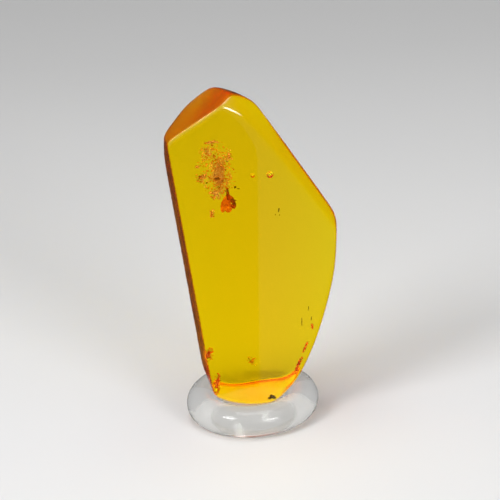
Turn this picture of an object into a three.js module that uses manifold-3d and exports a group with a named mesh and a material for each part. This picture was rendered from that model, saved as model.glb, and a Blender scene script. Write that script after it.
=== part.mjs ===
// A polished piece of fossil amber with an insect sealed inside it, standing in a clear display ring.
// Millimetres, +Z up, the broad polished face towards -Y.
// The origin is under the middle of the whole, on the surface that the ring rests on.
import * as THREE from "three";
import { mergeVertices } from "three/addons/utils/BufferGeometryUtils.js";
import Module from "manifold-3d";

const wasm = await Module();
wasm.setup();

// Display ring: a fat clear ring, ground flat where it rests
const RING_RADIUS = 5.7;
const RING_TUBE = 1.8;
const RING_MIDDLE_HEIGHT = 1.68;
const RING_SIDES = 48;
const RING_TUBE_STEPS = 16;

// Where the stone stands: its middle above the surface, how far it leans out to the right of the ring's
// middle, and how far it is turned so that its narrow left side shows
const STONE_MIDDLE_HEIGHT = 21;
const STONE_OFFSET = 0.88;
const STONE_TURN = 6;

// The stone is bounded by flats. Each flat faces a direction counted in degrees from +X towards +Z as the
// stone is seen from the front, slants towards the back by so many degrees, and lies at a distance from
// the stone's middle. The bevels take the front edge off the right upper side.
const SIDE_FLATS = {
  left: { facing: 185.6, slant: -4, distance: 7.48 },
  shoulder: { facing: 153, slant: 28.7, distance: 12.45 },
  topLeft: { facing: 119.8, slant: -2, distance: 17.14 },
  crownLeft: { facing: 78.7, slant: 23.3, distance: 17.4 },
  crownRight: { facing: 65.1, slant: 15, distance: 15.83 },
  rightUpper: { facing: 29.5, slant: 14, distance: 9.33 },
  right: { facing: -4.2, slant: -6.3, distance: 9.66 },
  rightLower: { facing: -17.1, slant: -10.5, distance: 10.07 },
  heel: { facing: -28, slant: -16, distance: 11.57 },
  toe: { facing: -48.7, slant: -4, distance: 15.01 },
  footRight: { facing: -88, slant: 10, distance: 17.74 },
  foot: { facing: -105, slant: 5, distance: 17.99 },
  footLeft: { facing: -122.5, slant: 4, distance: 17.03 },
};
const BEVEL_FLATS = {
  bevelCrown: { facing: 64.8, slant: -42, distance: 13.75 },
  bevelUpper: { facing: 35.6, slant: -45, distance: 9.36 },
  bevelLower: { facing: 30.3, slant: -45, distance: 8.76 },
};
const BACK_FLATS = {
  backLeft: { facing: 180, slant: 82, distance: 3.4 },
  backRight: { facing: 0, slant: 76, distance: 3.7 },
};
const FRONT_FLAT = { facing: 0, slant: -90, distance: 3.3 };

// How far polishing has rounded the edges where flats meet
const CORNER_ROUNDING = 0.3;
const BEVEL_ROUNDING = 0.12;
const RIDGE_ROUNDING = 0.25;
const EDGE_ROUNDING = 0.16;

// Fineness of the stone's surface: points around its outline crowd where the outline bends, and points from
// the front to the back crowd where the faces meet. The steps are shares of the way across each face.
const OUTLINE_SAMPLES = 900;
const OUTLINE_COLUMNS = 84;
const STRAIGHT_PER_BEND = 0.17;
const FACE_STEPS = [0.4, 0.78, 0.94, 0.985];
const SIDE_STEPS = [0.05, 0.14, 0.23, 0.32, 0.5, 0.8, 0.95];
const STONE_REACH = 30;

// The insect: middle of its body from the stone's middle, and the pocket that it fills
const INSECT_AT = new THREE.Vector3(-2.2, 0, 6.1);
const INSECT_LEAN = 2;
const POCKET_HALF_WIDTH = 1.25;
const POCKET_HALF_DEPTH = 0.95;
const POCKET_HALF_HEIGHT = 2.05;

// The stone is in two halves that meet at the insect, with a hairline between them
const PARTING_GAP = 0.1;
const PARTING_BOX = 60;

const MATERIALS = {
  amber: new THREE.MeshStandardMaterial({ color: 0xd8a906, roughness: 0.08, metalness: 0 }),
  insect: new THREE.MeshStandardMaterial({ color: 0x8a2f08, roughness: 0.55, metalness: 0 }),
  ring: new THREE.MeshStandardMaterial({ color: 0xd9dee2, roughness: 0.12, metalness: 0 }),
};

// Closed solids for cutting and joining

function toSolid(geometry) {
  const bare = geometry.clone();
  bare.deleteAttribute("normal");
  bare.deleteAttribute("uv");
  const merged = mergeVertices(bare, 1e-5);
  return new wasm.Manifold(new wasm.Mesh({
    numProp: 3,
    vertProperties: Float32Array.from(merged.attributes.position.array),
    triVerts: Uint32Array.from(merged.index.array),
  }));
}

function toGeometry(solid) {
  const mesh = solid.getMesh();
  const geometry = new THREE.BufferGeometry();
  geometry.setAttribute("position", new THREE.BufferAttribute(mesh.vertProperties, 3));
  geometry.setIndex(new THREE.BufferAttribute(mesh.triVerts, 1));
  geometry.computeVertexNormals();
  return geometry;
}

function namedMesh(name, geometry, material) {
  const mesh = new THREE.Mesh(geometry, material);
  mesh.name = name;
  return mesh;
}

// The stone

function flatNormal({ facing, slant }) {
  const turn = THREE.MathUtils.degToRad(facing);
  const back = THREE.MathUtils.degToRad(slant);
  return new THREE.Vector3(
    Math.cos(turn) * Math.cos(back),
    Math.sin(back),
    Math.sin(turn) * Math.cos(back),
  );
}

function prepareFlats(flats) {
  return flats.map((flat) => ({ normal: flatNormal(flat), distance: flat.distance }));
}

const SIDES = prepareFlats(Object.values(SIDE_FLATS));
const BEVELS = prepareFlats(Object.values(BEVEL_FLATS));
const BACKS = prepareFlats(Object.values(BACK_FLATS));
const FRONT = prepareFlats([FRONT_FLAT]);

// The largest of some heights, with the crease between them rounded
function roundedMax(heights, rounding) {
  const top = Math.max(...heights);
  const sum = heights.reduce((total, height) => total + Math.exp((height - top) / rounding), 0);
  return top + rounding * Math.log(sum);
}

const over = (point) => ({ normal, distance }) => normal.dot(point) - distance;
const heightOverBevels = (point) => roundedMax(BEVELS.map(over(point)), CORNER_ROUNDING);
const heightOverSides = (point) => (
  roundedMax([roundedMax(SIDES.map(over(point)), CORNER_ROUNDING), heightOverBevels(point)], BEVEL_ROUNDING)
);
const heightOverBack = (point) => roundedMax(BACKS.map(over(point)), RIDGE_ROUNDING);

// How far a point stands out of the stone, negative inside it
function heightOverStone(point) {
  return roundedMax([heightOverSides(point), heightOverBack(point), ...FRONT.map(over(point))], EDGE_ROUNDING);
}

// How far one can go from a start along a direction before a height turns positive
function reachAlong(height, start, direction) {
  const point = new THREE.Vector3();
  let inside = 0;
  let outside = STONE_REACH;
  while (outside - inside > 1e-6) {
    const middle = (inside + outside) / 2;
    if (height(point.copy(start).addScaledVector(direction, middle)) < 0) {
      inside = middle;
    } else {
      outside = middle;
    }
  }
  return inside;
}

const MIDDLE = new THREE.Vector3();
const TOWARDS_BACK = new THREE.Vector3(0, 1, 0);
const outwards = (turn) => new THREE.Vector3(Math.cos(turn), 0, Math.sin(turn));
const atDepth = (depth) => new THREE.Vector3(0, depth, 0);

// Directions around the stone's front outline, close together where the outline bends
function outlineTurns() {
  const front = atDepth(-FRONT_FLAT.distance);
  const turnOf = (sample) => 2 * Math.PI * sample / OUTLINE_SAMPLES;
  const points = Array.from({ length: OUTLINE_SAMPLES }, (_, sample) => {
    const outward = outwards(turnOf(sample));
    return outward.multiplyScalar(reachAlong(heightOverSides, front, outward));
  });
  const at = (sample) => points[(sample + OUTLINE_SAMPLES) % OUTLINE_SAMPLES];
  const cost = [0];
  for (let sample = 0; sample < OUTLINE_SAMPLES; sample += 1) {
    const before = at(sample).clone().sub(at(sample - 1));
    const after = at(sample + 1).clone().sub(at(sample));
    cost.push(cost[sample] + after.length() * STRAIGHT_PER_BEND + before.angleTo(after));
  }
  const turns = [];
  for (let sample = 0; sample < OUTLINE_SAMPLES; sample += 1) {
    const due = cost[OUTLINE_SAMPLES] * turns.length / OUTLINE_COLUMNS;
    if (cost[sample + 1] > due) {
      turns.push(turnOf(sample + (due - cost[sample]) / (cost[sample + 1] - cost[sample])));
    }
  }
  return turns;
}

// Points across the section of the stone in one direction, from the front face over the side to the back
function sectionPoints(turn) {
  const outward = outwards(turn);
  const frontDepth = -FRONT_FLAT.distance;
  const frontReach = reachAlong(heightOverSides, atDepth(frontDepth), outward);
  const backDepth = (reach) => reachAlong(heightOverBack, outward.clone().multiplyScalar(reach), TOWARDS_BACK);
  let backReach = frontReach;
  for (let pass = 0; pass < 12; pass += 1) {
    backReach = reachAlong(heightOverSides, atDepth(backDepth(backReach)), outward);
  }
  const sideDepth = (step) => THREE.MathUtils.lerp(frontDepth, backDepth(backReach), step);
  const sideReach = (step) => THREE.MathUtils.lerp(frontReach, backReach, step);
  const targets = [
    ...FACE_STEPS.map((step) => [step * frontReach, frontDepth]),
    ...[0, ...SIDE_STEPS, 1].map((step) => [sideReach(step), sideDepth(step)]),
    ...FACE_STEPS.toReversed().map((step) => [step * backReach, backDepth(step * backReach)]),
  ];
  return targets.map(([reach, depth]) => {
    const direction = outward.clone().multiplyScalar(reach).setY(depth).normalize();
    return direction.multiplyScalar(reachAlong(heightOverStone, MIDDLE, direction));
  });
}

function stoneGeometry() {
  const columns = outlineTurns().map(sectionPoints);
  const rows = columns[0].length;
  const front = atDepth(-reachAlong(heightOverStone, MIDDLE, atDepth(-1)));
  const back = atDepth(reachAlong(heightOverStone, MIDDLE, TOWARDS_BACK));
  const points = [front, ...columns.flat(), back];
  const at = (row, column) => 1 + row + (column % columns.length) * rows;
  const indices = [];
  for (let column = 0; column < columns.length; column += 1) {
    indices.push(0, at(0, column), at(0, column + 1));
    for (let row = 0; row < rows - 1; row += 1) {
      indices.push(at(row, column), at(row + 1, column), at(row + 1, column + 1));
      indices.push(at(row, column), at(row + 1, column + 1), at(row, column + 1));
    }
    indices.push(points.length - 1, at(rows - 1, column + 1), at(rows - 1, column));
  }
  const geometry = new THREE.BufferGeometry().setFromPoints(points);
  geometry.setIndex(indices);
  return geometry;
}

function pocketSolid() {
  const egg = new THREE.SphereGeometry(1, 20, 12);
  egg.scale(POCKET_HALF_WIDTH, POCKET_HALF_DEPTH, POCKET_HALF_HEIGHT);
  egg.rotateY(THREE.MathUtils.degToRad(INSECT_LEAN));
  egg.translate(INSECT_AT.x, INSECT_AT.y, INSECT_AT.z);
  return toSolid(egg);
}

// One half of the stone: side is -1 for the front half and 1 for the back
function stoneHalf(stone, pocket, side) {
  const keep = new THREE.BoxGeometry(PARTING_BOX, PARTING_BOX, PARTING_BOX);
  keep.translate(0, INSECT_AT.y + side * (PARTING_BOX + PARTING_GAP) / 2, 0);
  return toGeometry(stone.intersect(toSolid(keep)).subtract(pocket));
}

// The insect, head up, with its wings folded along its back

function lobe(halfSizes, at, leanDegrees = 0) {
  const geometry = new THREE.SphereGeometry(1, 12, 8);
  geometry.scale(...halfSizes);
  geometry.rotateY(THREE.MathUtils.degToRad(leanDegrees));
  geometry.translate(...at);
  return toSolid(geometry);
}

function legSolid(from, to, radius) {
  const start = new THREE.Vector3(...from);
  const end = new THREE.Vector3(...to);
  const along = end.clone().sub(start);
  const geometry = new THREE.CapsuleGeometry(radius, along.length(), 2, 6);
  geometry.applyQuaternion(
    new THREE.Quaternion().setFromUnitVectors(new THREE.Vector3(0, 1, 0), along.clone().normalize()),
  );
  geometry.translate(...start.add(end).multiplyScalar(0.5).toArray());
  return toSolid(geometry);
}

function insectGeometry() {
  const head = lobe([0.15, 0.17, 0.2], [-0.02, -0.02, 1.4]);
  const thorax = lobe([0.21, 0.25, 0.5], [0, 0, 0.95]);
  const abdomen = lobe([0.5, 0.48, 1.1], [0.02, 0.02, -0.45]);
  const leftWing = lobe([0.38, 0.13, 1.05], [-0.42, -0.16, -0.35], 14);
  const rightWing = lobe([0.38, 0.13, 0.9], [0.42, -0.16, -0.2], -18);
  const legs = [
    legSolid([0.4, -0.05, 0.1], [0.9, -0.12, -0.05], 0.06),
    legSolid([0.4, -0.05, -0.1], [0.86, -0.12, -0.36], 0.07),
    legSolid([-0.4, -0.05, -0.9], [-0.62, -0.1, -1.3], 0.06),
  ];
  const body = [thorax, abdomen, leftWing, rightWing, ...legs].reduce((all, part) => all.add(part), head);
  const geometry = toGeometry(body);
  geometry.rotateY(THREE.MathUtils.degToRad(INSECT_LEAN));
  geometry.translate(INSECT_AT.x, INSECT_AT.y, INSECT_AT.z);
  return geometry;
}

// The ring: a round section turned about the upright axis and cut flat at the surface it stands on
function ringGeometry() {
  const flatHalfAngle = Math.acos(RING_MIDDLE_HEIGHT / RING_TUBE);
  const start = -Math.PI / 2 + flatHalfAngle;
  const sweep = 2 * Math.PI - 2 * flatHalfAngle;
  const profile = [];
  for (let step = 0; step <= RING_TUBE_STEPS; step += 1) {
    const turn = start + sweep * step / RING_TUBE_STEPS;
    profile.push(new THREE.Vector2(
      RING_RADIUS + RING_TUBE * Math.cos(turn),
      RING_MIDDLE_HEIGHT + RING_TUBE * Math.sin(turn),
    ));
  }
  profile.push(profile[0].clone());
  const geometry = new THREE.LatheGeometry(profile, RING_SIDES);
  geometry.rotateX(Math.PI / 2);
  return toGeometry(toSolid(geometry));
}

// Assembly

const stone = toSolid(stoneGeometry());
const pocket = pocketSolid();

const standing = new THREE.Group();
standing.add(namedMesh("amber_front", stoneHalf(stone, pocket, -1), MATERIALS.amber));
standing.add(namedMesh("amber_back", stoneHalf(stone, pocket, 1), MATERIALS.amber));
standing.add(namedMesh("insect", insectGeometry(), MATERIALS.insect));
standing.position.set(STONE_OFFSET, 0, STONE_MIDDLE_HEIGHT);
standing.rotation.z = THREE.MathUtils.degToRad(STONE_TURN);

const amberInRing = new THREE.Group();
amberInRing.add(standing);
amberInRing.add(namedMesh("ring", ringGeometry(), MATERIALS.ring));

// Centre the whole over the origin, with the ring's base at the origin's height
amberInRing.updateMatrixWorld(true);
const extent = new THREE.Box3().setFromObject(amberInRing, true);
const middle = extent.getCenter(new THREE.Vector3());
amberInRing.position.set(-middle.x, -middle.y, -extent.min.z);

export default amberInRing;
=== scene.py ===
"""Looks of a polished piece of fossil amber with an insect in it, standing in a clear display ring.

The amber is one see-through solid with small bubbles in it. The insect, a cloud of thin flakes, healed
flaws, dark specks and hairline cracks lie inside it. The stone, the ring and what is sealed in the stone are
written in millimetres and turned to metres as they are used; the studio is written in metres.
"""
import math

import bmesh
import bpy
import numpy as np
from mathutils import Matrix, Vector, noise


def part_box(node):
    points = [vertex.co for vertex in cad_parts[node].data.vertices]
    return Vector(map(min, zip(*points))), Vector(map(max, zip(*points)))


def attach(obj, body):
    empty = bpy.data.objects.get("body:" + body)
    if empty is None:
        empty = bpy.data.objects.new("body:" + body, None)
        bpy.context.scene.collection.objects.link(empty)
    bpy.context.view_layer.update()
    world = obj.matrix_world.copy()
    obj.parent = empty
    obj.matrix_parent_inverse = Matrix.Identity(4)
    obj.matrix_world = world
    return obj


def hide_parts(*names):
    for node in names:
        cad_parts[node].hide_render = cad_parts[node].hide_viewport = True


bl_info = {
    "name": "Amber in a Display Ring",
    "version": (1, 0, 0),
    "blender": (4, 5, 0),
    "location": "3D View > Sidebar > Amber",
    "description": "Builds a polished amber with its insect, bubbles and flakes, its clear ring and a studio",
    "category": "Add Mesh",
}

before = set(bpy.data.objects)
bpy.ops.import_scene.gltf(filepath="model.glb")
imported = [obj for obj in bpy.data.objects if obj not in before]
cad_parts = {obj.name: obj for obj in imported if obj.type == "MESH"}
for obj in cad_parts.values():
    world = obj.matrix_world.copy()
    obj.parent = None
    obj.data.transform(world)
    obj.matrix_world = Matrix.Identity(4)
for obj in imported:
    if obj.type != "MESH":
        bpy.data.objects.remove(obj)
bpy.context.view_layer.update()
MM = 0.001
BODY = "root"

# The ring, as the frame has it
RING_TUBE = 1.8
RING_RADIUS = 5.7
RING_MIDDLE_HEIGHT = 1.68
RING_SIDES = 220
RING_TUBE_STEPS = 96

# The stone's place and turn
STONE_MIDDLE_HEIGHT = 21.0
STONE_OFFSET = 0.88
STONE_TURN = math.radians(6)

# The stone's flats: the direction each faces as seen from the front, in degrees from +X towards +Z, its slant
# towards the back in degrees, and its distance from the stone's middle
SIDE_FLATS = {
    "left": (185.6, -4, 7.48),
    "shoulder": (153, 28.7, 12.45),
    "top_left": (119.8, -2, 17.14),
    "crown_left": (78.7, 23.3, 17.4),
    "crown_right": (65.1, 15, 15.83),
    "right_upper": (29.5, 14, 9.33),
    "right": (-4.2, -6.3, 9.66),
    "right_lower": (-17.1, -10.5, 10.07),
    "heel": (-28, -16, 11.57),
    "toe": (-48.7, -4, 15.01),
    "foot_right": (-88, 10, 17.74),
    "foot": (-105, 5, 17.99),
    "foot_left": (-122.5, 4, 17.03),
}
BEVEL_FLATS = {
    "bevel_crown": (64.8, -42, 13.75),
    "bevel_upper": (35.6, -45, 9.36),
    "bevel_lower": (30.3, -45, 8.76),
}
BACK_FLATS = {
    "back_left": (180, 82, 3.4),
    "back_right": (0, 76, 3.7),
}
FRONT_DISTANCE = 3.3
CORNER_ROUNDING = 0.3
BEVEL_ROUNDING = 0.12
RIDGE_ROUNDING = 0.25
EDGE_ROUNDING = 0.16
STONE_REACH = 30.0

# The insect's middle from the stone's middle
INSECT_AT = (-2.2, 0.0, 6.1)
INSECT_LEAN = math.radians(2)

# The photograph's view
PHOTO_SIZE = 500
MM_PER_PIXEL = 0.112
SENSOR = 36.0
# How far above the floor the middle of the view lies, measured in the picture, in millimetres
AIM_HEIGHT = 18.5


def ring_middle():
    """The ring's middle on the surface that it stands on, in metres."""
    low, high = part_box("ring")
    return Vector(((low.x + high.x) / 2, (low.y + high.y) / 2, low.z))


def stone_to_frame():
    """The matrix from millimetres about the stone's middle to metres in the frame."""
    middle = ring_middle() + Vector((STONE_OFFSET, 0, STONE_MIDDLE_HEIGHT)) * MM
    return Matrix.Translation(middle) @ Matrix.Rotation(STONE_TURN, 4, "Z") @ Matrix.Scale(MM, 4)


# Settings that a user would change


class AmberLook(bpy.types.PropertyGroup):
    """The amber's glass-like body."""

    ior: bpy.props.FloatProperty(
        name="Index of refraction",
        description="How strongly the amber bends light",
        default=1.54,
        min=1.0,
        max=2.5,
    )
    depth_colour: bpy.props.FloatVectorProperty(
        name="Depth colour",
        description="Light that is left after the amber has taken its share",
        subtype="COLOR",
        size=3,
        default=(0.9996, 0.9614, 0.0),
        min=0,
        max=1,
    )
    depth_strength: bpy.props.FloatProperty(
        name="Depth strength",
        description="How fast the colour deepens, for each metre of amber",
        default=1400.0,
        min=0,
    )
    roughness: bpy.props.FloatProperty(
        name="Polish roughness",
        description="Roughness of the polished faces",
        default=0.02,
        subtype="FACTOR",
        min=0,
        max=1,
    )


class InclusionLook(bpy.types.PropertyGroup):
    """What is sealed in the amber beside the insect."""

    flakes: bpy.props.IntProperty(
        name="Flakes",
        description="Number of thin flakes in the dense part of the cloud",
        default=420,
        min=0,
    )
    flake_size: bpy.props.FloatProperty(
        name="Flake size",
        description="Radius of the largest flakes",
        default=0.25 * MM,
        subtype="DISTANCE",
        unit="LENGTH",
    )
    seed: bpy.props.IntProperty(
        name="Seed",
        description="Fixes where the flakes lie",
        default=7,
    )


class RingLook(bpy.types.PropertyGroup):
    """The clear ring."""

    ior: bpy.props.FloatProperty(
        name="Index of refraction",
        description="How strongly the soft clear plastic bends light",
        default=1.43,
        min=1.0,
        max=2.5,
    )
    roughness: bpy.props.FloatProperty(
        name="Roughness",
        description="Softness of the ring's surface",
        default=0.16,
        subtype="FACTOR",
        min=0,
        max=1,
    )


class StudioLook(bpy.types.PropertyGroup):
    """Camera, floor and light."""

    elevation: bpy.props.FloatProperty(
        name="Camera height",
        description="Angle of the camera above the level",
        default=math.radians(24),
        subtype="ANGLE",
        unit="ROTATION",
    )
    roll: bpy.props.FloatProperty(
        name="Camera roll",
        description="Turn of the camera about its own line of sight",
        default=math.radians(4),
        subtype="ANGLE",
        unit="ROTATION",
    )
    distance: bpy.props.FloatProperty(
        name="Camera distance",
        description="Distance of the camera from the middle of the view",
        default=0.4,
        subtype="DISTANCE",
        unit="LENGTH",
    )
    softbox_power: bpy.props.FloatProperty(
        name="Softbox power",
        description="Power of the overhead softbox",
        default=0.222,
        subtype="POWER",
        unit="POWER",
    )
    key_power: bpy.props.FloatProperty(
        name="Key power",
        description="Power of the softbox in front on the left",
        default=0.8,
        subtype="POWER",
        unit="POWER",
    )
    spark_power: bpy.props.FloatProperty(
        name="Spark power",
        description="Power of the small light on the right that sparkles on the stone's upper corner",
        default=0.9,
        subtype="POWER",
        unit="POWER",
    )
    room_light: bpy.props.FloatProperty(
        name="Room light",
        description="Brightness of the pale room above the floor",
        default=1.0,
        min=0,
    )
    floor_colour: bpy.props.FloatVectorProperty(
        name="Floor colour",
        description="Colour of the pale floor",
        subtype="COLOR",
        size=3,
        default=(0.8, 0.8, 0.8),
        min=0,
        max=1,
    )


# Meshes and materials


def mesh_piece(name, vertices, faces, material, smooth=True):
    """A mesh object at the origin from points in metres."""
    mesh = bpy.data.meshes.new(name)
    mesh.from_pydata([tuple(v) for v in vertices], [], [tuple(f) for f in faces])
    mesh.materials.append(material)
    if smooth:
        mesh.shade_smooth()
    else:
        mesh.shade_flat()
    piece = bpy.data.objects.new(name, mesh)
    bpy.context.scene.collection.objects.link(piece)
    return piece


def finish_piece(piece, slot, *replaced):
    """The piece rides on the body and stands for the solids that it replaces. The slot is not used."""
    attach(piece, BODY)
    if replaced:
        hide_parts(*replaced)


class NodeBook:
    """A short way to write a material's nodes."""

    def __init__(self, material):
        self.nodes = material.node_tree.nodes
        self.links = material.node_tree.links
        self.surface = self.nodes["Principled BSDF"]
        self.output = self.nodes["Material Output"]

    def add(self, kind, values=None, **properties):
        node = self.nodes.new(kind)
        for key, value in properties.items():
            setattr(node, key, value)
        for key, value in (values or {}).items():
            self.feed(node.inputs[key], value)
        return node

    def feed(self, socket, value):
        if isinstance(value, bpy.types.NodeSocket):
            self.links.new(value, socket)
        else:
            socket.default_value = value

    def math(self, operation, first, second=0.0, clamp=False):
        node = self.add("ShaderNodeMath", operation=operation, use_clamp=clamp)
        self.feed(node.inputs[0], first)
        self.feed(node.inputs[1], second)
        return node.outputs[0]

    def ramp(self, factor, stops):
        node = self.add("ShaderNodeValToRGB", {"Fac": factor})
        elements = node.color_ramp.elements
        while len(elements) < len(stops):
            elements.new(0.5)
        while len(elements) > len(stops):
            elements.remove(elements[-1])
        for element, (place, colour) in zip(elements, stops):
            element.position = place
            element.color = (*colour, 1)
        return node.outputs["Color"]

    def noise(self, scale, detail=4.0, roughness=0.5):
        node = self.add("ShaderNodeTexNoise", {"Scale": scale, "Detail": detail, "Roughness": roughness})
        self.links.new(self.object_place(), node.inputs["Vector"])
        return node.outputs["Fac"]

    def object_place(self):
        return self.add("ShaderNodeTexCoord").outputs["Object"]

    def attribute(self, name):
        return self.add("ShaderNodeAttribute", attribute_name=name).outputs["Fac"]

    def bump(self, height, strength, distance):
        node = self.add("ShaderNodeBump", {"Height": height, "Strength": strength, "Distance": distance})
        return node.outputs["Normal"]


def new_material(name, **flat):
    """A material with its Principled surface, and its flat values on the surface's own sockets."""
    material = bpy.data.materials.new(name)
    material.use_nodes = True
    book = NodeBook(material)
    for key, value in flat.items():
        book.surface.inputs[key.replace("_", " ")].default_value = value
    return material, book


# Balls, from which the bubbles, the insect and the specks are made


def ball_points(place, segments, rings):
    """Points and faces of a ball that the matrix places and stretches. Its first column of points faces +Y."""
    points = [(0, 0, 1)]
    for ring in range(1, rings):
        down = math.pi * ring / rings
        for segment in range(segments):
            turn = 2 * math.pi * segment / segments + math.pi / 2
            points.append((math.sin(down) * math.cos(turn), math.sin(down) * math.sin(turn), math.cos(down)))
    points.append((0, 0, -1))
    last = len(points) - 1
    faces = []
    for segment in range(segments):
        beside = (segment + 1) % segments
        faces.append((0, 1 + segment, 1 + beside))
        for upper in range(1, last - segments, segments):
            lower = upper + segments
            faces.append((upper + segment, lower + segment, lower + beside, upper + beside))
        faces.append((last - segments + segment, last, last - segments + beside))
    return [place @ Vector(point) for point in points], faces


# The stone's shape

# Fineness of its surface: columns of points around it, rows across the front and the back, and rows from
# the front to the back
STONE_COLUMNS = 560
FACE_ROWS = 26
SIDE_ROWS = 34
# How many points the outline is measured at, what a millimetre counts for beside a radian of bend, how much
# more it counts for on the left side, and how strongly the rows crowd towards a face's rim
OUTLINE_SAMPLES = 7200
STRAIGHT_PER_BEND = 0.35
LEFT_SIDE_SHARE = 2.2
RIM_CROWDING = 2.2
# Steps that close in on a place on the surface, and on the rim of the back
HALVING_STEPS = 34
BACK_RIM_STEPS = 12


def flat_planes(flats):
    turn, slant, distance = np.array(list(flats)).T
    turn, slant = np.radians(turn), np.radians(slant)
    normals = np.stack([np.cos(turn) * np.cos(slant), np.sin(slant), np.sin(turn) * np.cos(slant)], 1)
    return normals, distance


SIDES = flat_planes(SIDE_FLATS.values())
BEVELS = flat_planes(BEVEL_FLATS.values())
BACKS = flat_planes(BACK_FLATS.values())
LEFT = flat_planes([SIDE_FLATS["left"]])
TOP_LEFT = flat_planes([SIDE_FLATS["top_left"]])
FEET = flat_planes([SIDE_FLATS["foot_left"], SIDE_FLATS["foot"], SIDE_FLATS["foot_right"]])


def rounded_max(heights, rounding):
    """The largest along the last axis, with the crease between them rounded."""
    top = heights.max(-1, keepdims=True)
    total = np.exp((heights - top) / rounding).sum(-1)
    return top[..., 0] + rounding * np.log(total)


def over_flats(points, planes, rounding):
    normals, distances = planes
    return rounded_max(points @ normals.T - distances, rounding)


def over_sides(points):
    sides = over_flats(points, SIDES, CORNER_ROUNDING)
    bevels = over_flats(points, BEVELS, CORNER_ROUNDING)
    return rounded_max(np.stack([sides, bevels], -1), BEVEL_ROUNDING)


def over_back(points):
    return over_flats(points, BACKS, RIDGE_ROUNDING)


def over_stone(points):
    """How far points stand out of the stone, negative inside it."""
    front = -points[..., 1] - FRONT_DISTANCE
    return rounded_max(np.stack([over_sides(points), over_back(points), front], -1), EDGE_ROUNDING)


def reach_along(height, starts, directions):
    """How far one can go from each start along its direction before the height turns positive."""
    inside = np.zeros(directions.shape[:-1])
    outside = np.full(directions.shape[:-1], STONE_REACH)
    for _ in range(HALVING_STEPS):
        middle = (inside + outside) / 2
        is_in = height(starts + directions * middle[..., None]) < 0
        inside = np.where(is_in, middle, inside)
        outside = np.where(is_in, outside, middle)
    return inside


def outwards(turns):
    return np.stack([np.cos(turns), np.zeros_like(turns), np.sin(turns)], -1)


def outline_turns():
    """Directions around the front outline, close where it bends and along the rough left side."""
    turns = np.linspace(0, 2 * math.pi, OUTLINE_SAMPLES, endpoint=False)
    outward = outwards(turns)
    front = np.array([0, -FRONT_DISTANCE, 0])
    points = outward * reach_along(over_sides, front, outward)[:, None] + front
    step = np.roll(points, -1, 0) - points
    length = np.linalg.norm(step, axis=1)
    heading = np.unwrap(np.arctan2(step[:, 2], step[:, 0]))
    bend = np.abs(np.diff(heading, append=heading[0] + 2 * math.pi))
    is_left = over_flats(points, LEFT, 1.0) > -0.3
    straight = length * STRAIGHT_PER_BEND * np.where(is_left, LEFT_SIDE_SHARE, 1)
    cost = np.concatenate([[0], np.cumsum(straight + bend)])
    due = np.linspace(0, cost[-1], STONE_COLUMNS, endpoint=False)
    return np.interp(due, cost, np.append(turns, 2 * math.pi))


def crowd_to_rim(count):
    """Shares of the way out along a face, crowding towards its rim."""
    return 1 - (1 - np.linspace(0, 1, count + 1)[1:-1]) ** RIM_CROWDING


def crowd_to_ends(count):
    """Shares of the way from the front to the back, crowding towards both."""
    return (1 - np.cos(np.linspace(0, math.pi, count))) / 2


def at_depth(depth):
    return np.stack([0 * depth, depth, 0 * depth], -1)


def stone_points():
    """The stone's surface: points across each section, column by column, with the two poles at the ends."""
    outward = outwards(outline_turns())
    towards_back = np.broadcast_to([0.0, 1.0, 0.0], outward.shape)
    front_depth = np.full(STONE_COLUMNS, -FRONT_DISTANCE)
    front_reach = reach_along(over_sides, at_depth(front_depth), outward)

    def back_depth(reach):
        return reach_along(over_back, outward * reach[:, None], towards_back)

    back_reach = front_reach
    for _ in range(BACK_RIM_STEPS):
        back_reach = reach_along(over_sides, at_depth(back_depth(back_reach)), outward)
    rim_depth = back_depth(back_reach)
    face = crowd_to_rim(FACE_ROWS)
    targets = [outward * (front_reach * s)[:, None] + at_depth(front_depth) for s in face]
    for s in crowd_to_ends(SIDE_ROWS):
        reach = front_reach + (back_reach - front_reach) * s
        depth = front_depth + (rim_depth - front_depth) * s
        targets.append(outward * reach[:, None] + at_depth(depth))
    for s in face[::-1]:
        targets.append(outward * (back_reach * s)[:, None] + at_depth(back_depth(back_reach * s)))
    targets = np.stack(targets, 1).reshape(-1, 3)
    poles = np.array([[0.0, -1.0, 0.0], [0.0, 1.0, 0.0]])
    between = targets / np.linalg.norm(targets, axis=1, keepdims=True)
    directions = np.concatenate([poles[:1], between, poles[1:]])
    return directions * reach_along(over_stone, np.zeros(3), directions)[:, None]


def stone_faces(columns, rows):
    faces = []
    last = 1 + columns * rows
    for column in range(columns):
        here = 1 + column * rows
        beside = 1 + (column + 1) % columns * rows
        faces.append((0, here, beside))
        for row in range(rows - 1):
            faces.append((here + row, here + row + 1, beside + row + 1, beside + row))
        faces.append((last, beside + rows - 1, here + rows - 1))
    return faces


def left_skin(points):
    """How much of the rough outer skin a point has: 1 on the narrow left side, 0 on the polished faces."""
    height = over_flats(points, LEFT, 1.0)
    inside_front = (points[:, 1] + FRONT_DISTANCE) / 0.25
    return np.clip((height + 0.22) / 0.14, 0, 1) * np.clip(inside_front, 0, 1)


# How satin the stone's places are, as shares, and the roughness that the full share and the skin add
FACET_SATIN = 0.2
FOOT_SATIN = 0.5
BACK_SATIN = 0.8
BACK_LEFT_SATIN = 0.35
SATIN_ROUGHNESS = 0.4
SKIN_ROUGHNESS = 0.06


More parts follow.
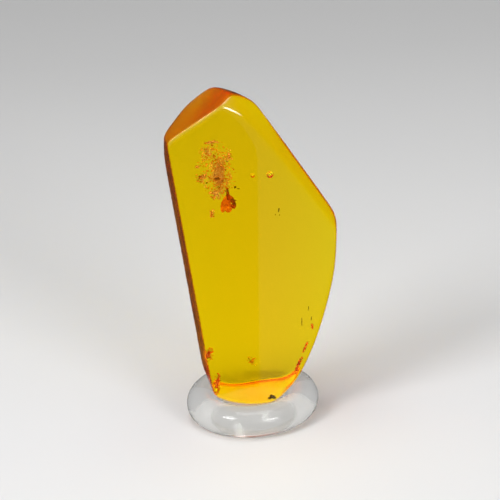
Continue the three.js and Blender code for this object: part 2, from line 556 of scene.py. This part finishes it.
def satin_places(points):
    """How satin each point is: the back most, more so on its left, then the foot and the top-left facet."""
    behind_front = np.clip((points[:, 1] + FRONT_DISTANCE) / 0.2, 0, 1)
    on_facet = np.clip((over_flats(points, TOP_LEFT, 1.0) + 0.14) / 0.1, 0, 1)
    on_foot = np.clip((over_flats(points, FEET, CORNER_ROUNDING) + 1.0) / 0.6, 0, 1)
    towards_left = np.clip((-1 - points[:, 0]) / 2.5, 0, 1)
    on_back = np.clip((over_back(points) + 0.14) / 0.1, 0, 1)
    back = on_back * (BACK_SATIN + BACK_LEFT_SATIN * towards_left)
    return behind_front * np.maximum.reduce([FACET_SATIN * on_facet, FOOT_SATIN * on_foot, back])


# Where the skin is broken low down on the left side: height from the stone's middle, and spread
BROKEN_PLACES = [(-15.2, 1.6), (-11.4, 0.7)]


def roughen(points, skin):
    """Pits and ridges in the skin, deepest low down where it is broken."""
    rough = points.copy()
    outward = LEFT[0][0]
    for index in np.nonzero(skin)[0]:
        x, y, z = points[index]
        broken = 1 + 2.2 * max(math.exp(-((z - at) / spread) ** 2) for at, spread in BROKEN_PLACES)
        ridges = noise.noise((x * 0.5, y * 1.2, z * 3.2))
        pits = noise.noise((x * 3 + 9, y * 3.5, z * 4.5))
        depth = 0.03 * (1 + ridges) + 0.035 * max(pits, 0) * broken
        rough[index] = points[index] - outward * depth * skin[index]
    return rough


def bubble_shell(at, radius):
    """Points and faces of a round bubble, with its faces turned into the bubble."""
    points, faces = ball_points(Matrix.Translation(at) @ Matrix.Scale(radius, 4), 20, 12)
    return points, [face[::-1] for face in faces]


# Bubbles: middle from the stone's middle and radius, in millimetres
BUBBLES = [
    ((0.62, -1.6, 9.18), 0.26),
    ((2.55, -1.6, 9.06), 0.42),
    ((-1.95, -1.3, 6.0), 0.13),
    ((-0.5, -1.2, -14.1), 0.1),
]


def amber_material(look):
    material, book = new_material(
        "polished amber",
        Roughness=look.roughness,
        IOR=look.ior,
        Transmission_Weight=1.0,
    )
    skin = book.attribute("skin")
    streaks = book.noise(900, detail=6)
    tint = book.ramp(streaks, [(0.35, (0.14, 0.035, 0.001)), (0.65, (0.5, 0.2, 0.004))])
    mix = book.add("ShaderNodeMix", data_type="RGBA")
    book.feed(mix.inputs["Factor"], skin)
    book.feed(mix.inputs["A"], (1, 1, 1, 1))
    book.feed(mix.inputs["B"], tint)
    book.feed(book.surface.inputs["Base Color"], mix.outputs["Result"])
    from_skin = book.math("MULTIPLY", skin, SKIN_ROUGHNESS)
    from_satin = book.math("MULTIPLY", book.attribute("satin"), SATIN_ROUGHNESS)
    unevenness = book.math("ADD", from_skin, from_satin)
    book.feed(book.surface.inputs["Roughness"], book.math("ADD", unevenness, look.roughness))
    grit = book.math("MULTIPLY", book.noise(4000, detail=5), skin)
    book.feed(book.surface.inputs["Normal"], book.bump(grit, 0.2, 0.00008))
    depth = book.add(
        "ShaderNodeVolumeAbsorption",
        {"Color": (*look.depth_colour, 1), "Density": look.depth_strength},
    )
    book.links.new(depth.outputs["Volume"], book.output.inputs["Volume"])
    return material


def build_amber(look):
    points = stone_points()
    skin = left_skin(points)
    finishes = {"skin": skin, "satin": satin_places(points)}
    points = roughen(points, skin)
    faces = stone_faces(STONE_COLUMNS, (len(points) - 2) // STONE_COLUMNS)
    vertices = list(points)
    for at, radius in BUBBLES:
        shell, shell_faces = bubble_shell(at, radius)
        start = len(vertices)
        vertices.extend(shell)
        faces.extend([[start + index for index in face] for face in shell_faces])
    piece = mesh_piece("amber", vertices, faces, amber_material(look))
    bubble_points = len(vertices) - len(points)
    for name, shares in finishes.items():
        attribute = piece.data.attributes.new(name, "FLOAT", "POINT")
        attribute.data.foreach_set("value", np.pad(shares, (0, bubble_points)))
    piece.data.transform(stone_to_frame())
    finish_piece(piece, "amber", "amber_front", "amber_back")


# The insect


def insect_material():
    material, book = new_material("insect body and wings", Roughness=0.42, IOR=1.5)
    mottle = book.noise(2600, detail=5, roughness=0.6)
    dark = book.attribute("dark")
    shade = book.math("ADD", book.math("MULTIPLY", mottle, 0.55), book.math("MULTIPLY", dark, 0.6))
    pale_to_dark = [
        (0.2, (0.95, 0.45, 0.08)),
        (0.36, (0.9, 0.24, 0.03)),
        (0.62, (0.5, 0.06, 0.01)),
        (0.88, (0.12, 0.008, 0.004)),
    ]
    colour = book.ramp(shade, pale_to_dark)
    book.feed(book.surface.inputs["Base Color"], colour)
    book.feed(book.surface.inputs["Normal"], book.bump(book.noise(5200, detail=4), 0.6, 0.00003))
    return material


# The insect's lobes: half sizes, middle, lean in degrees, and how dark each is
INSECT_LOBES = [
    ((0.14, 0.16, 0.17), (-0.02, -0.02, 1.4), 0, 0.75),
    ((0.12, 0.14, 0.2), (-0.01, -0.02, 1.16), 0, 1.0),
    ((0.17, 0.22, 0.36), (0.0, 0.0, 0.82), 0, 0.85),
    ((0.3, 0.34, 0.5), (0.02, 0.0, 0.35), 0, 0.7),
    ((0.46, 0.42, 0.62), (0.02, 0.04, -0.3), 0, 0.35),
    ((0.42, 0.4, 0.52), (0.02, 0.04, -0.95), 0, 0.1),
    ((0.36, 0.12, 1.0), (-0.42, -0.2, -0.38), 14, 0.1),
    ((0.3, 0.1, 0.62), (-0.5, -0.28, -0.25), 22, 0.3),
    ((0.36, 0.12, 0.86), (0.44, -0.18, -0.2), -18, 0.5),
    ((0.24, 0.1, 0.5), (0.56, -0.26, -0.2), -26, 0.9),
]
# Its legs: start, end, thickness, and how dark each is
INSECT_LEGS = [
    ((0.4, -0.12, 0.12), (0.92, -0.18, -0.04), 0.055, 0.9),
    ((0.42, -0.12, -0.1), (0.88, -0.18, -0.38), 0.07, 1.0),
    ((-0.38, -0.1, -0.95), (-0.64, -0.15, -1.3), 0.05, 0.8),
    ((0.1, -0.1, 0.75), (0.3, -0.2, 0.45), 0.035, 0.9),
    ((-0.1, -0.1, 0.75), (-0.3, -0.2, 0.45), 0.035, 0.9),
]


def lobe_points(half_sizes, at, lean, segments=28, rings=18):
    turn = Matrix.Rotation(math.radians(lean), 4, "Y")
    place = Matrix.Translation(at) @ turn @ Matrix.Diagonal((*half_sizes, 1))
    return ball_points(place, segments, rings)


def leg_points(start, end, thickness):
    start, end = Vector(start), Vector(end)
    along = end - start
    turn = along.to_track_quat("Z", "Y").to_matrix().to_4x4()
    stretch = Matrix.Diagonal((thickness, thickness, along.length * 0.6, 1))
    place = Matrix.Translation((start + end) / 2) @ turn @ stretch
    return ball_points(place, 10, 10)


def build_insect():
    vertices, faces, dark = [], [], []
    parts = [(lobe_points(size, at, lean), shade) for size, at, lean, shade in INSECT_LOBES]
    parts += [(leg_points(start, end, thick), shade) for start, end, thick, shade in INSECT_LEGS]
    for (points, part_faces), shade in parts:
        start = len(vertices)
        for point in points:
            push = 1 + 0.1 * noise.noise(point * 5)
            vertices.append(Vector((point.x * push, point.y * push, point.z)))
        faces.extend([[start + index for index in face] for face in part_faces])
        dark.extend([shade] * len(points))
    piece = mesh_piece("insect_in_amber", vertices, faces, insect_material())
    attribute = piece.data.attributes.new("dark", "FLOAT", "POINT")
    attribute.data.foreach_set("value", np.array(dark, np.float32))
    place = Matrix.Translation(INSECT_AT) @ Matrix.Rotation(INSECT_LEAN, 4, "Y")
    piece.data.transform(stone_to_frame() @ place)
    finish_piece(piece, "insect", "insect")


# Flakes, healed flaws, specks and cracks


def flake_material():
    material, book = new_material("thin flakes in the amber", Roughness=0.35, IOR=1.3)
    brown_to_pink = [
        (0.32, (0.25, 0.05, 0.01)),
        (0.38, (0.85, 0.33, 0.08)),
        (0.55, (0.92, 0.45, 0.22)),
        (0.68, (1.0, 0.66, 0.36)),
    ]
    colour = book.ramp(book.noise(1500, detail=3), brown_to_pink)
    book.feed(book.surface.inputs["Base Color"], colour)
    return material


def speck_material():
    material, book = new_material("dark plant specks", Roughness=0.6)
    colour = book.ramp(book.noise(3000), [(0.4, (0.02, 0.012, 0.004)), (0.6, (0.12, 0.05, 0.01))])
    book.feed(book.surface.inputs["Base Color"], colour)
    return material


def flake_tree(name):
    """Thin flakes scattered in an egg-shaped cloud, each turned and sized by chance."""
    tree = bpy.data.node_groups.new(name, "GeometryNodeTree")
    face = tree.interface
    inputs = {
        "Count": ("NodeSocketInt", 100),
        "Half Size": ("NodeSocketVector", (1.0, 1.0, 1.0)),
        "Flake Size": ("NodeSocketFloat", 0.0001),
        "Flatness": ("NodeSocketFloat", 0.12),
        "Seed": ("NodeSocketInt", 0),
        "Material": ("NodeSocketMaterial", None),
    }
    for label, (kind, default) in inputs.items():
        socket = face.new_socket(name=label, in_out="INPUT", socket_type=kind)
        if default is not None:
            socket.default_value = default
    face.new_socket(name="Geometry", in_out="OUTPUT", socket_type="NodeSocketGeometry")
    nodes, links = tree.nodes, tree.links
    group = nodes.new("NodeGroupInput")
    result = nodes.new("NodeGroupOutput")

    def chance(kind, low, high, extra):
        node = nodes.new("FunctionNodeRandomValue")
        node.data_type = kind
        ends = {"FLOAT_VECTOR": (0, 1), "FLOAT": (2, 3)}[kind]
        node.inputs[ends[0]].default_value = low
        node.inputs[ends[1]].default_value = high
        seed = nodes.new("ShaderNodeMath")
        seed.operation = "ADD"
        seed.inputs[1].default_value = extra
        links.new(group.outputs["Seed"], seed.inputs[0])
        links.new(seed.outputs[0], node.inputs["Seed"])
        return node.outputs[{"FLOAT_VECTOR": 0, "FLOAT": 1}[kind]]

    direction = nodes.new("ShaderNodeVectorMath")
    direction.operation = "NORMALIZE"
    links.new(chance("FLOAT_VECTOR", (-1, -1, -1), (1, 1, 1), 0), direction.inputs[0])
    spread = nodes.new("ShaderNodeVectorMath")
    spread.operation = "SCALE"
    links.new(direction.outputs[0], spread.inputs[0])
    links.new(chance("FLOAT", 0.0, 1.0, 1), spread.inputs["Scale"])
    stretch = nodes.new("ShaderNodeVectorMath")
    stretch.operation = "MULTIPLY"
    links.new(spread.outputs[0], stretch.inputs[0])
    links.new(group.outputs["Half Size"], stretch.inputs[1])
    points = nodes.new("GeometryNodePoints")
    links.new(group.outputs["Count"], points.inputs["Count"])
    links.new(stretch.outputs[0], points.inputs["Position"])
    ball = nodes.new("GeometryNodeMeshIcoSphere")
    ball.inputs["Subdivisions"].default_value = 1
    links.new(group.outputs["Flake Size"], ball.inputs["Radius"])
    flat = nodes.new("ShaderNodeCombineXYZ")
    flat.inputs[0].default_value = 1.0
    flat.inputs[1].default_value = 0.42
    links.new(group.outputs["Flatness"], flat.inputs[2])
    press = nodes.new("GeometryNodeTransform")
    links.new(ball.outputs["Mesh"], press.inputs["Geometry"])
    links.new(flat.outputs[0], press.inputs["Scale"])
    scatter = nodes.new("GeometryNodeInstanceOnPoints")
    links.new(points.outputs[0], scatter.inputs["Points"])
    links.new(press.outputs[0], scatter.inputs["Instance"])
    links.new(chance("FLOAT_VECTOR", (-0.9, -0.9, 0), (0.9, 0.9, 2 * math.pi), 2), scatter.inputs["Rotation"])
    links.new(chance("FLOAT", 0.25, 1.0, 3), scatter.inputs["Scale"])
    realize = nodes.new("GeometryNodeRealizeInstances")
    links.new(scatter.outputs[0], realize.inputs[0])
    paint = nodes.new("GeometryNodeSetMaterial")
    links.new(realize.outputs[0], paint.inputs["Geometry"])
    links.new(group.outputs["Material"], paint.inputs["Material"])
    links.new(paint.outputs[0], result.inputs[0])
    return tree


def scattered(name, tree, values):
    """A plain mesh made by the tree with these named inputs."""
    carrier = bpy.data.objects.new(name + " carrier", bpy.data.meshes.new(name + " carrier"))
    bpy.context.scene.collection.objects.link(carrier)
    modifier = carrier.modifiers.new("scatter", "NODES")
    modifier.node_group = tree
    sockets = {item.name: item.identifier for item in tree.interface.items_tree if item.in_out == "INPUT"}
    for label, value in values.items():
        modifier[sockets[label]] = value
    bpy.context.view_layer.update()
    depsgraph = bpy.context.evaluated_depsgraph_get()
    mesh = bpy.data.meshes.new_from_object(carrier.evaluated_get(depsgraph))
    bpy.data.objects.remove(carrier)
    return mesh


# The flake clouds: middle, half sizes, lean in degrees, and share of the count
FLAKE_CLOUDS = [
    ((-3.3, -2.6, 10.4), (2.1, 0.3, 3.4), -6, 1.7),
    ((-3.1, -2.6, 9.2), (0.95, 0.3, 1.8), -6, 1.0),
    ((-2.86, -2.6, 11.1), (0.9, 0.3, 1.2), 0, 0.45),
    ((-3.7, -2.8, 13.95), (1.25, 0.15, 0.22), 4, 0.22),
    ((-4.2, -2.7, 12.8), (1.2, 0.2, 1.0), 0, 0.3),
    ((-1.9, -2.7, 12.1), (0.4, 0.2, 0.9), 0, 0.15),
    ((-5.15, -2.7, 9.9), (0.8, 0.2, 0.65), 0, 0.25),
    ((-5.5, -2.8, 11.2), (0.35, 0.15, 0.2), 0, 0.06),
    ((-3.65, -2.7, 7.7), (0.9, 0.2, 0.75), 0, 0.32),
    ((-4.2, -2.7, 5.4), (0.35, 0.2, 0.7), 0, 0.12),
    ((-1.0, -1.6, -13.4), (0.7, 0.2, 0.6), 0, 0.1),
]


# Orange-red healed flaws low down at the sides, written as the flake clouds are
FLAWS = [
    ((-5.75, -2.9, -11.6), (0.5, 0.15, 0.9), 8, 0.3),
    ((-5.1, -2.9, -15.4), (0.4, 0.15, 1.5), 8, 0.35),
    ((6.15, -2.0, -9.8), (0.15, 0.1, 0.4), 0, 0.06),
    ((5.3, -2.0, -12.2), (0.2, 0.1, 1.2), 24, 0.12),
    ((4.3, -2.0, -14.4), (0.2, 0.1, 1.2), 26, 0.15),
]


def flaw_material():
    material, book = new_material("orange-red healed flaws", Roughness=0.35, IOR=1.3)
    colour = book.ramp(book.noise(1800, detail=3), [(0.4, (0.6, 0.05, 0.01)), (0.55, (0.95, 0.2, 0.03))])
    book.feed(book.surface.inputs["Base Color"], colour)
    return material


def build_flakes(name, clouds, material, look):
    """One piece from all the clouds of a kind."""
    tree = flake_tree(name + " cloud")
    form = bmesh.new()
    for index, (at, half, lean, share) in enumerate(clouds):
        mesh = scattered(
            "flakes",
            tree,
            {
                "Count": round(look.flakes * share),
                "Half Size": half,
                "Flake Size": look.flake_size / MM,
                "Seed": look.seed + 10 * index,
                "Material": material,
            },
        )
        mesh.transform(Matrix.Translation(at) @ Matrix.Rotation(math.radians(lean), 4, "Y"))
        form.from_mesh(mesh)
        bpy.data.meshes.remove(mesh)
    mesh = bpy.data.meshes.new(name)
    form.to_mesh(mesh)
    form.free()
    mesh.materials.clear()
    mesh.materials.append(material)
    mesh.transform(stone_to_frame())
    piece = bpy.data.objects.new(name, mesh)
    bpy.context.scene.collection.objects.link(piece)
    finish_piece(piece, "amber")


# Specks: middle, half sizes and lean in degrees
SPECKS = [
    ((-1.45, -2.2, 8.15), (0.13, 0.1, 0.14), 20),
    ((-1.1, -2.2, 7.95), (0.2, 0.04, 0.04), 10),
    ((3.25, -2.0, 4.8), (0.07, 0.06, 0.26), 12),
    ((2.85, -2.0, 4.3), (0.05, 0.05, 0.08), 0),
    ((3.3, -2.0, 4.2), (0.06, 0.05, 0.06), 0),
    ((-4.5, -2.4, 9.15), (0.17, 0.08, 0.09), -30),
    ((-2.1, -2.4, 11.4), (0.1, 0.07, 0.09), 10),
    ((-2.35, -2.4, 10.4), (0.09, 0.07, 0.08), 0),
    ((-3.2, -2.4, 9.9), (0.12, 0.07, 0.1), 30),
    ((-2.85, -2.4, 9.3), (0.08, 0.06, 0.08), 0),
    ((1.1, -2.6, -17.85), (0.36, 0.2, 0.2), 30),
    ((0.75, -2.7, -17.95), (0.18, 0.15, 0.15), 0),
]
# Hairline cracks, written as the specks are
CRACKS = [
    ((5.0, -2.2, -9.1), (0.04, 0.1, 0.6), 4),
    ((5.85, -2.2, -7.5), (0.035, 0.08, 0.3), 8),
    ((6.1, -2.2, -8.8), (0.035, 0.08, 0.26), 12),
]


def build_specks():
    vertices, faces = [], []
    for at, half, lean in SPECKS + CRACKS:
        points, part_faces = lobe_points(half, (0, 0, 0), lean, 14, 10)
        start = len(vertices)
        for point in points:
            push = 1 + 0.35 * noise.noise((point + Vector(at)) * 6)
            vertices.append(point * push + Vector(at))
        faces.extend([[start + index for index in face] for face in part_faces])
    piece = mesh_piece("specks", vertices, faces, speck_material())
    piece.data.transform(stone_to_frame())
    finish_piece(piece, "insect")


# The ring


def ring_material(look):
    material, book = new_material(
        "clear soft plastic",
        Roughness=look.roughness,
        IOR=look.ior,
        Transmission_Weight=0.9,
        Base_Color=(0.78, 0.77, 0.74, 1.0),
    )
    book.feed(book.surface.inputs["Normal"], book.bump(book.noise(260, detail=3), 0.12, 0.0001))
    depth = book.add("ShaderNodeVolumeAbsorption", {"Color": (0.86, 0.9, 0.94, 1), "Density": 25.0})
    book.links.new(depth.outputs["Volume"], book.output.inputs["Volume"])
    return material


def build_ring(look):
    around, across = RING_SIDES, RING_TUBE_STEPS
    flat_half = math.acos(RING_MIDDLE_HEIGHT / RING_TUBE)
    turns = np.linspace(-math.pi / 2 + flat_half, 1.5 * math.pi - flat_half, across)
    radii = RING_RADIUS + RING_TUBE * np.cos(turns)
    heights = RING_MIDDLE_HEIGHT + RING_TUBE * np.sin(turns)
    vertices = []
    for step in range(around):
        angle = 2 * math.pi * step / around
        vertices.extend((r * math.cos(angle), r * math.sin(angle), z) for r, z in zip(radii, heights))
    faces = []
    for step in range(around):
        here, beside = step * across, (step + 1) % around * across
        for row in range(across):
            following = (row + 1) % across
            faces.append((here + row, beside + row, beside + following, here + following))
    piece = mesh_piece("clear_ring", vertices, faces, ring_material(look))
    piece.data.transform(Matrix.Translation(ring_middle()) @ Matrix.Scale(MM, 4))
    finish_piece(piece, "ring", "ring")


# The studio, in metres

FLOOR_HALF = 3.0
# Painted shade on the floor: how bright its colour is painted at distances behind the stone, as a share of its
# colour, in place of light that falls off towards the back
PAINTED_FLOOR_FALLOFF = [(0.0, 0.93), (0.03, 0.905), (0.06, 0.87), (0.09, 0.82), (0.115, 0.765), (0.2, 0.7)]
# The lights: place, aim, side of the square, and the setting that holds the power
LIGHTS = {
    "overhead softbox": ((0, 0, 0.25), (0, 0, 0), 0.16, "softbox_power"),
    "key softbox": ((-0.24, -0.2, 0.27), (0, 0, 0.02), 0.14, "key_power"),
    "corner spark": ((0.2, -0.33, 0.13), (0, 0, 0.03), 0.13, "spark_power"),
}
# What the polished faces mirror on the right: middle, half across, half up, strength, and shares up the card
MIRRORED_CARD = ((0.0984, -0.09, -0.03), (0.08, 0, 0), (0.0039, 0, 0.07), 0.22)
MIRRORED_FADE = [(0.05, 0.12), (0.55, 1.0), (1.0, 0.35)]
# The pale sheet on the floor behind the stone, written in the same way
PALE_SHEET = ((0, 0.05, 0.00004), (0.12, 0, 0), (0, 0.065, 0), 1.0)
SHEET_FADE = [(0.0, 0.6), (0.2, 0.6), (0.27, 0.78), (0.4, 0.735), (0.6, 0.67), (0.76, 0.64), (1.0, 0.58)]
# The pale tent around the stone
TENT_RADIUS = 0.5
TENT_HEIGHT = 1.2
TENT_STRENGTH = 1.0
TENT_SIDES = 48
# The side of the room that is pale
PALE_DIRECTION = (-0.3, -0.6, 0.74)


def floor_material(colour):
    """A pale floor whose colour is painted darker towards the back: painted shade in place of light that falls
    off.
    """
    material, book = new_material("pale floor", Roughness=0.55, Specular_IOR_Level=0.3)
    place = book.add("ShaderNodeSeparateXYZ", {"Vector": book.object_place()})
    reach = PAINTED_FLOOR_FALLOFF[-1][0]
    stops = [(distance / reach, tuple(c * share for c in colour)) for distance, share in PAINTED_FLOOR_FALLOFF]
    behind = book.math("DIVIDE", place.outputs["Y"], reach, clamp=True)
    book.feed(book.surface.inputs["Base Color"], book.ramp(behind, stops))
    return material


def build_floor(look):
    half = FLOOR_HALF
    corners = [(-half, -half, 0), (half, -half, 0), (half, half, 0), (-half, half, 0)]
    floor = mesh_piece("floor", corners, [(0, 1, 2, 3)], floor_material(look.floor_colour), smooth=False)
    floor.visible_glossy = False


def area_light(name, at, aim, side, power):
    light = bpy.data.lights.new(name, "AREA")
    light.shape = "RECTANGLE"
    light.size = side
    light.size_y = side
    light.energy = power
    lamp = bpy.data.objects.new(name, light)
    lamp.location = at
    lamp.rotation_euler = (Vector(aim) - Vector(at)).to_track_quat("-Z", "Y").to_euler()
    bpy.context.scene.collection.objects.link(lamp)


def build_card(name, middle, across, up, strength, fade=((0, 1),)):
    """A glowing card that the camera never sees, with its share of the strength at places up the card."""
    middle, across, up = Vector(middle), Vector(across), Vector(up)
    corners = [middle - across - up, middle + across - up, middle + across + up, middle - across + up]
    material, book = new_material(name)
    place = book.add("ShaderNodeUVMap", uv_map="card")
    split = book.add("ShaderNodeSeparateXYZ", {"Vector": place.outputs["UV"]})
    shares = book.ramp(split.outputs["Y"], [(at, (share, share, share)) for at, share in fade])
    glow = book.add("ShaderNodeEmission", {"Color": shares, "Strength": strength})
    book.links.new(glow.outputs[0], book.output.inputs["Surface"])
    book.nodes.remove(book.surface)
    card = mesh_piece(name, corners, [(0, 1, 2, 3)], material, smooth=False)
    layer = card.data.uv_layers.new(name="card")
    for loop, corner in zip(layer.data, [(0, 0), (1, 0), (1, 1), (0, 1)]):
        loop.uv = corner
    card.visible_camera = False
    card.visible_diffuse = False
    card.visible_shadow = False
    return card


def build_tent():
    """A pale tent around the stone, which is seen only through the stone and the ring."""
    tent = build_card("pale tent", (0, 0, 0), (1, 0, 0), (0, 0, 1), TENT_STRENGTH)
    form = bmesh.new()
    turns = [2 * math.pi * step / TENT_SIDES for step in range(TENT_SIDES)]
    around = [(TENT_RADIUS * math.cos(turn), TENT_RADIUS * math.sin(turn)) for turn in turns]
    rims = [[form.verts.new((x, y, z)) for x, y in around] for z in (0, TENT_HEIGHT)]
    for step in range(TENT_SIDES):
        beside = (step + 1) % TENT_SIDES
        form.faces.new((rims[0][step], rims[1][step], rims[1][beside], rims[0][beside]))
    form.to_mesh(tent.data)
    form.free()
    tent.visible_glossy = False


def build_cards():
    """What the polished faces mirror on the right, and what is seen through the stone."""
    mirror = build_card("mirrored card", *MIRRORED_CARD, MIRRORED_FADE)
    mirror.visible_transmission = False
    build_tent()
    sheet = build_card("pale sheet", *PALE_SHEET, SHEET_FADE)
    sheet.visible_glossy = False


def build_world(look):
    """A dim room that is pale in front above the camera."""
    world = bpy.data.worlds.new("studio room")
    world.use_nodes = True
    nodes, links = world.node_tree.nodes, world.node_tree.links
    place = nodes.new("ShaderNodeTexCoord")
    facing = nodes.new("ShaderNodeVectorMath")
    facing.operation = "DOT_PRODUCT"
    facing.inputs[1].default_value = PALE_DIRECTION
    links.new(place.outputs["Generated"], facing.inputs[0])
    ramp = nodes.new("ShaderNodeValToRGB")
    dim, pale = ramp.color_ramp.elements
    dim.position = 0.32
    dim.color = (0.02, 0.02, 0.02, 1)
    pale.position = 0.75
    pale.color = (0.7, 0.7, 0.7, 1)
    links.new(facing.outputs["Value"], ramp.inputs[0])
    background = nodes["Background"]
    links.new(ramp.outputs[0], background.inputs["Color"])
    background.inputs["Strength"].default_value = look.room_light
    bpy.context.scene.world = world


def build_camera(look):
    camera = bpy.data.cameras.new("camera")
    camera.sensor_width = SENSOR
    camera.lens = SENSOR * look.distance / (MM_PER_PIXEL * MM * PHOTO_SIZE)
    camera.clip_start = 0.01
    camera.clip_end = 20
    level, rise = math.cos(look.elevation), math.sin(look.elevation)
    right = Vector((1, 0, 0))
    up = Vector((0, rise, level))
    back = Vector((0, -level, rise))
    turned_right = right * math.cos(look.roll) - up * math.sin(look.roll)
    turned_up = right * math.sin(look.roll) + up * math.cos(look.roll)
    ring = ring_middle()
    aim = Vector((ring.x + STONE_OFFSET * MM, ring.y, AIM_HEIGHT * MM / level))
    rig = bpy.data.objects.new("camera", camera)
    turn = Matrix((turned_right, turned_up, back)).transposed().to_4x4()
    rig.matrix_world = Matrix.Translation(aim + back * look.distance) @ turn
    bpy.context.scene.collection.objects.link(rig)
    bpy.context.scene.camera = rig


def build_studio(look):
    build_floor(look)
    build_world(look)
    build_cards()
    for name, (at, aim, side, power) in LIGHTS.items():
        area_light(name, at, aim, side, getattr(look, power))
    build_camera(look)
    scene = bpy.context.scene
    scene.view_settings.view_transform = "Standard"
    scene.view_settings.look = "None"
    scene.cycles.use_denoising = True
    scene.cycles.max_bounces = 32
    scene.cycles.transmission_bounces = 24
    scene.cycles.glossy_bounces = 16


# Operators, panel and registration


class AMBER_OT_stone(bpy.types.Operator):
    """Build the clear amber with its bubbles"""

    bl_idname = "amber.stone"
    bl_label = "Amber"

    def execute(self, context):
        build_amber(context.scene.amber_look)
        return {"FINISHED"}


class AMBER_OT_insect(bpy.types.Operator):
    """Build the insect sealed in the amber"""

    bl_idname = "amber.insect"
    bl_label = "Insect"

    def execute(self, context):
        build_insect()
        return {"FINISHED"}


class AMBER_OT_inclusions(bpy.types.Operator):
    """Build the flakes, specks and cracks in the amber"""

    bl_idname = "amber.inclusions"
    bl_label = "Flakes and specks"

    def execute(self, context):
        look = context.scene.inclusion_look
        build_flakes("flakes", FLAKE_CLOUDS, flake_material(), look)
        build_flakes("healed_flaws", FLAWS, flaw_material(), look)
        build_specks()
        return {"FINISHED"}


class AMBER_OT_ring(bpy.types.Operator):
    """Build the clear ring that the amber stands in"""

    bl_idname = "amber.ring"
    bl_label = "Display ring"

    def execute(self, context):
        build_ring(context.scene.ring_look)
        return {"FINISHED"}


class AMBER_OT_studio(bpy.types.Operator):
    """Build the floor, the lights and the camera"""

    bl_idname = "amber.studio"
    bl_label = "Studio"

    def execute(self, context):
        build_studio(context.scene.studio_look)
        return {"FINISHED"}


OPERATORS = (AMBER_OT_studio, AMBER_OT_ring, AMBER_OT_stone, AMBER_OT_insect, AMBER_OT_inclusions)
LOOKS = {
    "amber_look": AmberLook,
    "inclusion_look": InclusionLook,
    "ring_look": RingLook,
    "studio_look": StudioLook,
}


class AMBER_PT_panel(bpy.types.Panel):
    """The amber's pieces and settings"""

    bl_label = "Amber in a Display Ring"
    bl_space_type = "VIEW_3D"
    bl_region_type = "UI"
    bl_category = "Amber"

    def draw(self, context):
        for operator in OPERATORS:
            self.layout.operator(operator.bl_idname)
        for name, look in LOOKS.items():
            column = self.layout.column(align=True)
            for key in look.__annotations__:
                column.prop(getattr(context.scene, name), key)


CLASSES = (*LOOKS.values(), *OPERATORS, AMBER_PT_panel)


def register():
    for cls in CLASSES:
        bpy.utils.register_class(cls)
    for name, look in LOOKS.items():
        setattr(bpy.types.Scene, name, bpy.props.PointerProperty(type=look))


def unregister():
    for name in LOOKS:
        delattr(bpy.types.Scene, name)
    for cls in reversed(CLASSES):
        bpy.utils.unregister_class(cls)


def main():
    register()
    bpy.ops.amber.studio()
    bpy.ops.amber.ring()
    bpy.ops.amber.stone()
    bpy.ops.amber.insect()
    bpy.ops.amber.inclusions()


if __name__ == "__main__":
    main()
